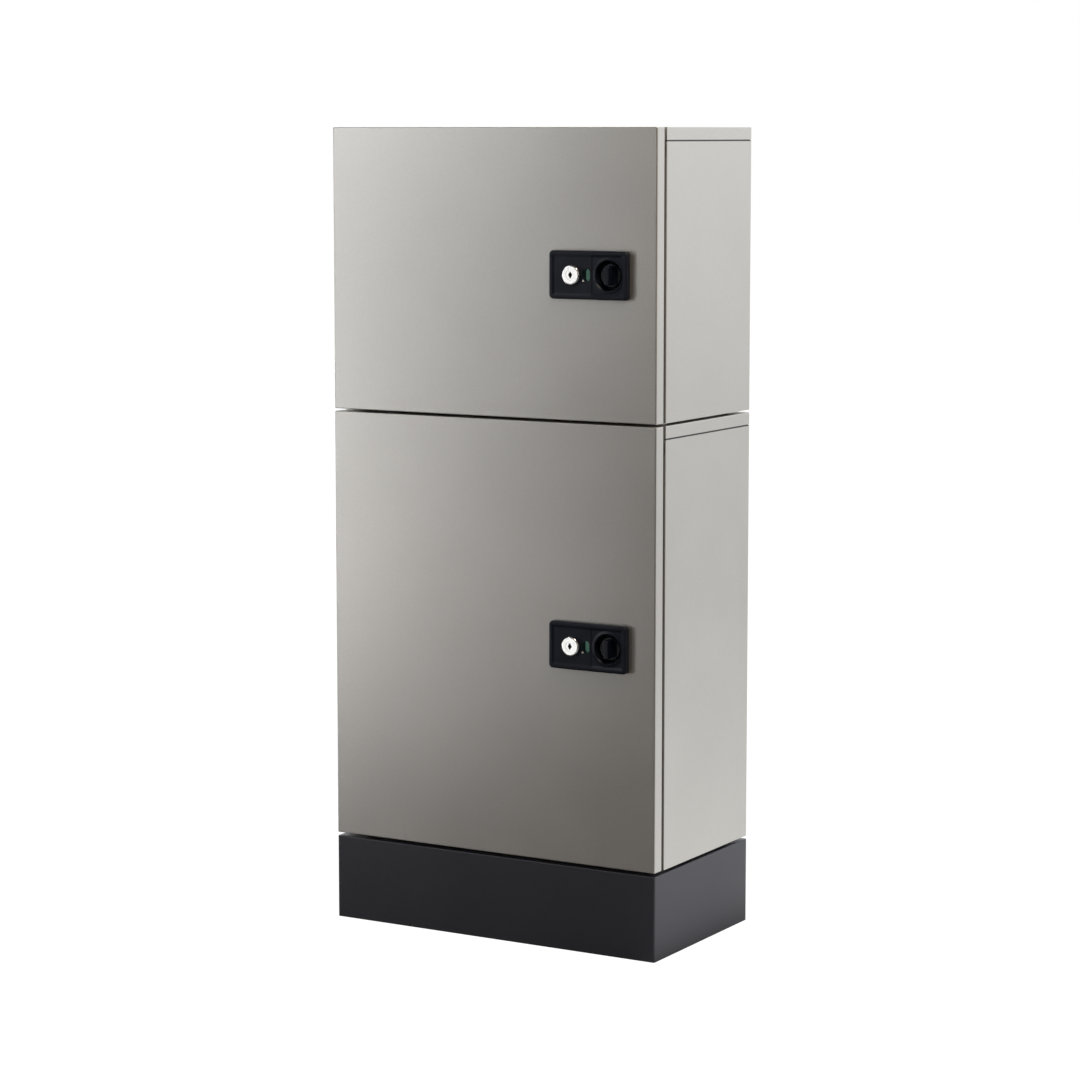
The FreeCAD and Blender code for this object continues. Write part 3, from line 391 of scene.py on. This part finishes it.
zinc, tree, shader = start("Bright zinc plate", Metallic=1.0)
film = use(tree, powder_coat, Peel_mm=3.5, Flake_mm=1.6)
mark = use(tree, handling_marks, Density=0.6)["Mark"]
tone = blend_colours(tree, film["Cloud"], (0.52, 0.54, 0.57, 1), (0.62, 0.61, 0.57, 1))
spangle = calc(tree, "MULTIPLY", film["Flake"], 0.35)
tone = blend_colours(tree, spangle, tone, (0.70, 0.71, 0.72, 1))
tree.links.new(tone, shader.inputs["Base Color"])
rough = calc(tree, "ADD", stretch(tree, film["Flake"], 0.0, 1.0, 0.28, 0.38),
             calc(tree, "MULTIPLY", mark, 0.25))
tree.links.new(rough, shader.inputs["Roughness"])
bump(tree, shader, film["Height"], 0.01 * MM)
print("metals", [m.name for m in (nickel, brass, zinc)])

# %% [markdown]
# ## Window and flag
# A clear polycarbonate lens closes the sight well. Behind it the flag shows green when the box is free;
# its upper half is red and comes down when the knob turns. Both colours also glow faintly: painted light,
# so that they read in the shade of the well. The colour change sits at a fixed
# height of the flag itself, so the pattern reads the piece's own coordinates and travels with it.

# %% Window and flag
window_clear, tree, shader = start("Clear polycarbonate", IOR=1.58)
mark = use(tree, handling_marks, Density=0.4)["Mark"]
tree.links.new(stretch(tree, mark, 0.0, 1.0, 0.05, 0.25), shader.inputs["Roughness"])
tree.links.new(stretch(tree, mark, 0.0, 1.0, 0.10, 0.30), shader.inputs["Alpha"])
tone = blend_colours(tree, mark, (0.55, 0.62, 0.60, 1), (0.75, 0.78, 0.78, 1))
tree.links.new(tone, shader.inputs["Base Color"])

COLOUR_LINE = 7.7 * MM  # how far above the plate's middle the flag turns from green to red
# painted light: how strongly the flag glows, to lift it out of the well's shade
PAINTED_GLOW = 0.10
flag_two_colour, tree, shader = start("Two-colour flag")
place = add(tree, "SeparateXYZ", {0: object_place(tree)}).outputs
is_upper = calc(tree, "GREATER_THAN", place[2], tier_split)
flag_line = stretch(tree, is_upper, 0.0, 1.0,
                    *(plate_middle[tier].z + COLOUR_LINE for tier in tiers))
is_red = calc(tree, "GREATER_THAN", place[2], flag_line)
skin = use(tree, moulded_skin, Grain_mm=0.5)
green = blend_colours(tree, skin["Gloss change"], (0.44, 0.90, 0.70, 1), (0.48, 0.96, 0.76, 1))
red = blend_colours(tree, skin["Gloss change"], (0.42, 0.03, 0.025, 1), (0.50, 0.04, 0.03, 1))
pigment = blend_colours(tree, is_red, green, red)
tree.links.new(pigment, shader.inputs["Base Color"])
# painted light: the flag's own colours glow faintly
tree.links.new(pigment, shader.inputs["Emission Color"])
shader.inputs["Emission Strength"].default_value = PAINTED_GLOW
rough = stretch(tree, skin["Gloss change"], 0.0, 1.0, 0.35, 0.45)
tree.links.new(rough, shader.inputs["Roughness"])
bump(tree, shader, skin["Height"], 0.008 * MM)
print("window", window_clear.name, "and flag", flag_two_colour.name)

# %% [markdown]
# ## Giving each piece its finish
# The imported record names a material slot for every piece, so the finishes are handed out by slot. The
# knobs differ, since they are polished and the plates aren't, and so do the cabinet walls, whose cap
# joint carries painted shade.

# %% Giving each piece its finish
by_slot = {"locker_paint": paint, "plinth_paint": plinth_paint, "lock_black": plate_black,
           "lock_case_black": case_black, "seal_rubber": rubber, "bright_nickel": nickel,
           "zinc_steel": zinc, "spindle_brass": brass, "window_clear": window_clear,
           "flag_green": flag_two_colour, "bearing_nylon": nylon, "magnet_black": magnet_black}


def dress(piece, material):
    piece.data.materials.clear()
    piece.data.materials.append(material)


for part in frame["record"]["subparts"]:
    dress(nodes[part["node"]], by_slot[part["material_slot"]])
for tier in tiers:
    dress(nodes[tier + "_knob"], knob_black)
    dress(nodes[tier + "_cabinet_shell"], shell_paint)

# %% [markdown]
# ## Making a new piece
# Each new piece is a mesh of its own. A function shapes it as a bmesh, and this helper turns that into
# an object at the origin, dresses it, and names the body that it moves with.

# %% Making a new piece


def new_piece(name, mesh_maker, material, body, slot):
    """Builds a mesh with mesh_maker(bm), finishes it and lets it ride on a body."""
    mesh = bpy.data.meshes.new(name)
    bm = bmesh.new()
    mesh_maker(bm)
    bmesh.ops.recalc_face_normals(bm, faces=bm.faces)
    bm.to_mesh(mesh)
    bm.free()
    piece = bpy.data.objects.new(name, mesh)
    bpy.context.scene.collection.objects.link(piece)
    mesh.materials.append(material)
    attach(piece, body)
    return piece


def smooth(piece, degrees=40):
    """Shades rounded parts smooth and keeps edges sharper than this angle."""
    piece.data.shade_smooth()
    piece.data.set_sharp_from_angle(angle=math.radians(degrees))


def stand_up(bm):
    """Turns a shape that was made lying flat so that it stands square to the door."""
    upright = Matrix.Rotation(math.radians(90), 3, "X")
    bmesh.ops.rotate(bm, verts=bm.verts, cent=(0, 0, 0), matrix=upright)


def round_edges(bm, edges, offset, segments):
    bmesh.ops.bevel(bm, geom=edges, offset=offset, segments=segments, profile=0.5, affect="EDGES",
                    material=-1)


print("piece tools:", [tool.__name__ for tool in (new_piece, smooth, stand_up, round_edges)])

# %% [markdown]
# ## White triangles
# A small white triangle stands at the window's lower left. It is raised and under four millimetres
# high; a cone with three sides and flat ends, bevelled, is enough.

# %% White triangles
MARK_RADIUS, MARK_THICK, MARK_EDGE = 1.8 * MM, 0.35 * MM, 0.08 * MM
MARK_LEFT, MARK_DOWN = 3.7 * MM, 6.6 * MM  # from the window's middle
PANEL_RECESS = 0.8 * MM  # the window's panel is this far behind the plate's face
triangle_white = moulded("Plain white plastic", (0.78, 0.78, 0.76, 1), (0.86, 0.86, 0.84, 1),
                     0.4, 0.5, 0.3, 0.004)


def white_triangle(centre):
    def shape(bm):
        bmesh.ops.create_cone(bm, cap_ends=True, cap_tris=False, segments=3, radius1=MARK_RADIUS,
                              radius2=MARK_RADIUS, depth=MARK_THICK)
        stand_up(bm)
        points_up = max(v.co.z for v in bm.verts) > 0.9 * MARK_RADIUS
        if not points_up:
            bmesh.ops.rotate(bm, verts=bm.verts, cent=(0, 0, 0),
                             matrix=Matrix.Rotation(math.radians(180), 3, "Y"))
        round_edges(bm, bm.edges[:], MARK_EDGE, 2)
        bmesh.ops.translate(bm, verts=bm.verts, vec=centre)
    return shape


for tier in tiers:
    spot = Vector((window_x - MARK_LEFT, plate_face + PANEL_RECESS, plate_middle[tier].z - MARK_DOWN))
    piece = new_piece(tier + "_white_triangle", white_triangle(spot), triangle_white, tier + "_door",
                      "lock_black")
    print(piece.name, len(piece.data.polygons), "faces")

# %% [markdown]
# ## A frame to shape
# A door gasket and a lock seal are both flat frames. A curve with a bevel would sweep a round section,
# but these are flat where they are glued, so both start as one flat rectangle: inset it, drop the
# middle, and pull the frame forwards, once for the foot and once, stepped in, for the bulb.

# %% A frame to shape


def flat_rectangle(bm, low, high, corner):
    """One face over the box low..high, at its back, with its corners rounded."""
    bmesh.ops.create_grid(bm, x_segments=1, y_segments=1, size=0.5)
    bmesh.ops.scale(bm, vec=(high.x - low.x, high.z - low.z, 1), verts=bm.verts)
    stand_up(bm)
    middle = ((low.x + high.x) / 2, high.y, (low.z + high.z) / 2)
    bmesh.ops.translate(bm, verts=bm.verts, vec=middle)
    if corner:
        bmesh.ops.bevel(bm, geom=bm.verts[:], offset=corner, segments=5, profile=0.5,
                        affect="VERTICES", material=-1)


def pull_forward(bm, front, rise, step_in):
    """Pulls the frame's front faces towards the door, stepped in first. Gives the new front faces.
    Without a step the old faces stay, as the frame's back. After a step they would be left inside."""
    if step_in:
        bmesh.ops.inset_region(bm, faces=front, thickness=step_in, use_even_offset=True,
                               use_boundary=True)
    pulled = bmesh.ops.extrude_face_region(bm, geom=front)["geom"]
    if step_in:
        bmesh.ops.delete(bm, geom=front, context="FACES")
    front = [g for g in pulled if isinstance(g, bmesh.types.BMFace)]
    bmesh.ops.translate(bm, verts=list({v for f in front for v in f.verts}), vec=(0, -rise, 0))
    return front


def frame_shape(low, high, border, foot, shoulder, rounding, corner=0.0):
    """A frame in the box low..high that grows from the cabinet (high y) to the door (low y).
    foot is its flat part's height, shoulder how far the bulb steps in, rounding the bulb's radius."""
    def shape(bm):
        flat_rectangle(bm, low, high, corner)
        middle_face = bm.faces[:]
        front = bmesh.ops.inset_individual(bm, faces=middle_face, thickness=border,
                                           use_even_offset=True)["faces"]
        bmesh.ops.delete(bm, geom=middle_face, context="FACES")
        if foot:
            front = pull_forward(bm, front, foot, 0.0)
        front = pull_forward(bm, front, high.y - low.y - foot, shoulder)
        at_front = {v for f in front for v in f.verts}
        rim = [e for e in bm.edges if e.verts[0] in at_front and e.verts[1] in at_front
               and sum(f in front for f in e.link_faces) == 1]
        round_edges(bm, rim, rounding, 4)
    return shape


print("frame tools:", [tool.__name__ for tool in (flat_rectangle, pull_forward, frame_shape)])

# %% [markdown]
# ## Door gaskets and lock seals
# A foam strip closes the gap between door and cabinet: a flat foot with a rounded bulb along it, that
# the door presses on. The lock plate sits on a thin flat seal with rounded corners. Each takes its box
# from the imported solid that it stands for, so it fills the same gap.

# %% Door gaskets and lock seals
gasket_sizes = dict(border=6.0 * MM, foot=1.4 * MM, shoulder=0.7 * MM, rounding=1.9 * MM)
seal_sizes = dict(border=3.0 * MM, foot=0.0, shoulder=0.0, rounding=0.25 * MM, corner=4.0 * MM)

for tier in tiers:
    gasket = new_piece(tier + "_bulb_gasket", frame_shape(*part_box(tier + "_door_gasket"), **gasket_sizes),
                       rubber, "root", "seal_rubber")
    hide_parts(tier + "_door_gasket")
    seal = new_piece(tier + "_plate_seal", frame_shape(*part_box(tier + "_lock_seal"), **seal_sizes),
                     rubber, tier + "_door", "seal_rubber")
    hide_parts(tier + "_lock_seal")
    for piece in (gasket, seal):
        smooth(piece)
        print(piece.name, len(piece.data.polygons), "faces")

# %% [markdown]
# ## Finding separate solids
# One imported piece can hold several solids, such as all four bumpers. Their places could be typed in,
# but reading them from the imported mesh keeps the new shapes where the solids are. A CAD mesh is loose
# triangles, so a copy is merged first, and then each connected island is walked from vertex to vertex.

# %% Finding separate solids


def taken_apart(node):
    """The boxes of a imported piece's separate solids, found by walking its mesh, from left to right."""
    bm = bmesh.new()
    bm.from_mesh(nodes[node].data)
    bmesh.ops.remove_doubles(bm, verts=bm.verts, dist=0.001 * MM)
    left, found = set(bm.verts), []
    while left:
        island, to_walk = set(), [left.pop()]
        while to_walk:
            vert = to_walk.pop()
            island.add(vert)
            near = [e.other_vert(vert) for e in vert.link_edges if e.other_vert(vert) in left]
            left.difference_update(near)
            to_walk.extend(near)
        places = [v.co.copy() for v in island]
        found.append((Vector([min(p[i] for p in places) for i in range(3)]),
                      Vector([max(p[i] for p in places) for i in range(3)])))
    bm.free()
    return sorted(found, key=lambda box: tuple(box[0]))


print("bumpers", len(taken_apart("door_bumpers")), "magnets", len(taken_apart("door_magnets")))

# %% [markdown]
# ## Rubber bumpers
# A rubber bumper stops the door without a clang. It has a thin base on the cabinet and a domed stud. A
# spun profile would do as well; here a short cylinder's front face is inset, pulled out and rounded,
# which needs no profile to be drawn.

# %% Rubber bumpers
BASE_THICK, BASE_LEDGE, BASE_EDGE, DOME = 1.2 * MM, 0.6 * MM, 0.3 * MM, 2.4 * MM


def step_front(bm, face, inset, pull):
    """Insets one face and pulls its middle towards the door, or pushes it in. Gives the middle face."""
    bmesh.ops.inset_individual(bm, faces=[face], thickness=inset, use_even_offset=True)
    middle = bmesh.ops.extrude_discrete_faces(bm, faces=[face])["faces"][0]
    bmesh.ops.translate(bm, verts=middle.verts, vec=(0, -pull, 0))
    return middle


def front_face(faces):
    return min(faces, key=lambda f: f.calc_center_median().y)


def bumpers(bm):
    for low, high in taken_apart("door_bumpers"):
        radius = (high.x - low.x) / 2
        place = Vector(((low.x + high.x) / 2, high.y - BASE_THICK / 2, (low.z + high.z) / 2))
        made = bmesh.ops.create_cone(
            bm, cap_ends=True, cap_tris=False, segments=40, radius1=radius, radius2=radius,
            depth=BASE_THICK, matrix=Matrix.Translation(place) @ Matrix.Rotation(math.pi / 2, 4, "X"))
        face = front_face({f for v in made["verts"] for f in v.link_faces})
        outer = list(face.edges)
        stud = step_front(bm, face, BASE_LEDGE, high.y - low.y - BASE_THICK)
        dome = list(stud.edges)
        round_edges(bm, outer, BASE_EDGE, 3)
        round_edges(bm, dome, DOME, 8)


studs = new_piece("rubber_bumpers", bumpers, rubber, "root", "seal_rubber")
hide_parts("door_bumpers")
smooth(studs)
print(studs.name, len(studs.data.polygons), "faces")

# %% [markdown]
# ## Magnetic catches
# The catch is a plastic housing with a shallow pocket in its face, where two steel pole plates stand on
# edge. A boolean could cut the pocket, but the bumper's inset and a push inwards make it more cleanly.
# The plates are a piece of their own, since they are another material.

# %% Magnetic catches
POCKET, RIM, HOUSING_EDGE = 0.8 * MM, 0.9 * MM, 0.45 * MM
PLATE_THICK, PLATE_END, PLATE_EDGE = 1.4 * MM, 3.0 * MM, 0.15 * MM
PLATE_SIDES = (0.3, 0.7)  # where the two plates stand, as shares of the housing's width
PLATE_SHY = 0.02 * MM  # the plates stop just short of the housing's face


def box_shape(bm, low, high):
    """A box from low to high. Gives its edges and its faces."""
    made = bmesh.ops.create_cube(bm, size=1.0)["verts"]
    bmesh.ops.scale(bm, vec=high - low, verts=made)
    bmesh.ops.translate(bm, verts=made, vec=(low + high) / 2)
    faces = list({f for v in made for f in v.link_faces})
    return list({e for f in faces for e in f.edges}), faces


def housings(bm):
    for low, high in taken_apart("door_magnets"):
        edges, faces = box_shape(bm, low, high)
        step_front(bm, front_face(faces), RIM, -POCKET)
        round_edges(bm, edges, HOUSING_EDGE, 3)


def pole_plates(bm):
    for low, high in taken_apart("door_magnets"):
        for side in PLATE_SIDES:
            x = low.x + side * (high.x - low.x)
            near = Vector((x - PLATE_THICK / 2, low.y + PLATE_SHY, low.z + PLATE_END))
            far = Vector((x + PLATE_THICK / 2, low.y + POCKET, high.z - PLATE_END))
            round_edges(bm, box_shape(bm, near, far)[0], PLATE_EDGE, 2)


cases = new_piece("magnet_housings", housings, magnet_black, "root", "magnet_black")
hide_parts("door_magnets")
poles = new_piece("magnet_pole_plates", pole_plates, zinc, "root", "zinc_steel")
for piece in (cases, poles):
    smooth(piece)
    print(piece.name, len(piece.data.polygons), "faces")

# %% [markdown]
# ## Floor
# A studio floor is one flat sheet, and one square face is enough for it. The camera sees it white, so
# that it runs out into the backdrop. The paint sees it dark in front and pale behind and to the right,
# as it would be under lamps that stand behind the locker.

# %% Floor
FLOOR_HALF = 30.0
BEHIND_Y = (-0.05, 0.35)  # behind the locker the floor brightens between these y
BESIDE_Y, BESIDE_X = (-0.40, -0.10), (0.20, 0.32)  # and at its right between these
FADE_Y, FADE = (0.9, 1.7), (0.95, 0.68)  # further back it dims a little again
floor_mesh = bpy.data.meshes.new("floor")
bm = bmesh.new()
bmesh.ops.create_grid(bm, x_segments=1, y_segments=1, size=FLOOR_HALF)
bm.to_mesh(floor_mesh)
bm.free()
floor = bpy.data.objects.new("floor", floor_mesh)
bpy.context.scene.collection.objects.link(floor)

floor_white, tree, shader = start("Pale studio floor", Roughness=0.9, Specular_IOR_Level=0.0)
seen = add(tree, "LightPath").outputs["Is Camera Ray"]
grain = add(tree, "TexNoise", {"Vector": object_place(tree), "Scale": 40.0})
tone = blend_colours(tree, grain.outputs[0], (0.12, 0.12, 0.12, 1), (0.13, 0.13, 0.13, 1))
tree.links.new(tone, shader.inputs["Base Color"])
shader.inputs["Emission Color"].default_value = (1, 1, 1, 1)
place = add(tree, "SeparateXYZ", {0: object_place(tree)}).outputs
beside = calc(tree, "MULTIPLY", stretch(tree, place[1], *BESIDE_Y), stretch(tree, place[0], *BESIDE_X))
bright = calc(tree, "MAXIMUM", stretch(tree, place[1], *BEHIND_Y), beside)
bright = calc(tree, "MULTIPLY", bright, stretch(tree, place[1], *FADE_Y, *FADE))
unseen = calc(tree, "MULTIPLY", calc(tree, "SUBTRACT", 1.0, seen), bright)
tree.links.new(calc(tree, "ADD", seen, unseen), shader.inputs["Emission Strength"])
floor_mesh.materials.append(floor_white)
print("floor", round(floor.dimensions.x), "by", round(floor.dimensions.y), "metres")

# %% [markdown]
# ## Room
# Metallic paint shows what it reflects, so the room matters as much as the lamps: white behind, dark at
# the front left, grey at the front right and dim overhead. A world of three blends, by direction, stands
# for the walls and ceiling; modelled walls would do the same but would have to be hidden from the camera.

# %% Room
FRONT_DARK, FRONT_RIGHT = (0.012, 0.010, 0.008, 1), (0.55, 0.50, 0.44, 1)
BEHIND_WHITE, CEILING = (1.42, 1.46, 1.48, 1), (0.15, 0.135, 0.12, 1)
BEHIND_SPAN = (-0.1, 0.55)  # each blend runs over this span of the direction's y,
ABOVE_SPAN = (0.35, 0.9)  # of its z,
RIGHT_SPAN = (0.25, 0.70)  # and of its x
world = bpy.data.worlds.new("room")
bpy.context.scene.world = world
world.use_nodes = True
tree = world.node_tree
backdrop = tree.nodes["Background"]
towards = add(tree, "SeparateXYZ", {0: add(tree, "TexCoord").outputs["Generated"]}).outputs
behind = stretch(tree, towards[1], *BEHIND_SPAN)
above = stretch(tree, towards[2], *ABOVE_SPAN)
to_right = stretch(tree, towards[0], *RIGHT_SPAN)
room_light = blend_colours(tree, to_right, FRONT_DARK, FRONT_RIGHT)
room_light = blend_colours(tree, behind, room_light, BEHIND_WHITE)
room_light = blend_colours(tree, above, room_light, CEILING)
seen = add(tree, "LightPath").outputs["Is Camera Ray"]
tree.links.new(blend_colours(tree, seen, room_light, (1, 1, 1, 1)), backdrop.inputs["Color"])
print("room", world.name, "with", len(tree.nodes), "nodes")

# %% [markdown]
# ## Lamps
# Three soft boxes at the front left, one over another, fade across the doors from left to right. A small
# warm lamp high at the right gives the knobs their glints, and each key cylinder has a little reflector
# in its mirror direction, as polished metal looks black without something bright to show.

# %% Lamps


def soft_lamp(name, place, aim, size, watts, colour=(1, 1, 1)):
    """A rectangular lamp at place, turned towards aim. size is its width and height in metres."""
    data = bpy.data.lights.new(name, "AREA")
    data.shape, data.size, data.size_y = "RECTANGLE", size[0], size[1]
    data.energy, data.color = watts, colour
    lamp = bpy.data.objects.new(name, data)
    bpy.context.scene.collection.objects.link(lamp)
    lamp.location = place
    lamp.rotation_euler = (Vector(aim) - Vector(place)).to_track_quat("-Z", "Y").to_euler()
    lamp.visible_camera = False


COOL, NEUTRAL, WARM = (0.97, 0.99, 1.01), (0.99, 0.98, 0.98), (1.0, 0.82, 0.66)
soft_lamp("upper left softbox", (-0.95, -1.25, 1.35), (-0.24, -0.12, 1.35), (0.5, 0.5), 3.4, COOL)
soft_lamp("middle left softbox", (-1.3, -1.25, 0.8), (-0.32, -0.12, 0.8), (0.4, 0.5), 2.8, COOL)
soft_lamp("lower left softbox", (-1.3, -1.25, 0.18), (-0.32, -0.12, 0.18), (0.4, 0.6), 4.2, NEUTRAL)
soft_lamp("high right glint", (0.81, -0.75, 2.1), (0.14, -0.13, 0.82), (0.4, 0.4), 15.0, WARM)
reflector_places = {"upper": (-0.329, -0.915, 0.785), "lower": (-0.324, -0.906, 0.232)}
for tier, place in reflector_places.items():
    key_middle = (key_x, plate_face, plate_middle[tier].z)
    soft_lamp(tier + " cylinder reflector", place, key_middle, (0.10, 0.10), 0.045)

# %% [markdown]
# ## Camera
# A long lens about four metres away keeps the uprights nearly parallel, as in a catalogue. It stands
# level with the roof, 30 degrees round to the right, looks down a little, and is shifted slightly down
# to centre the object; more tilt in place of the shift would make the uprights lean.

# %% Camera
LENS_MM, SENSOR_MM, SHIFT = 105.15, 36.0, -0.04
TURN, TILT = 0.5310, 0.1147
camera_data = bpy.data.cameras.new("camera")
camera = bpy.data.objects.new("camera", camera_data)
bpy.context.scene.collection.objects.link(camera)
camera_data.sensor_width = SENSOR_MM
camera_data.lens = LENS_MM
camera_data.shift_y = SHIFT
camera.location = (1.9888, -3.3911, 0.9925)
camera.rotation_euler = (math.pi / 2 - TILT, 0.0, TURN)
bpy.context.scene.camera = camera
bpy.context.scene.view_settings.view_transform = "Standard"
print("camera lens", LENS_MM, "mm, at", tuple(round(c, 3) for c in camera.location))
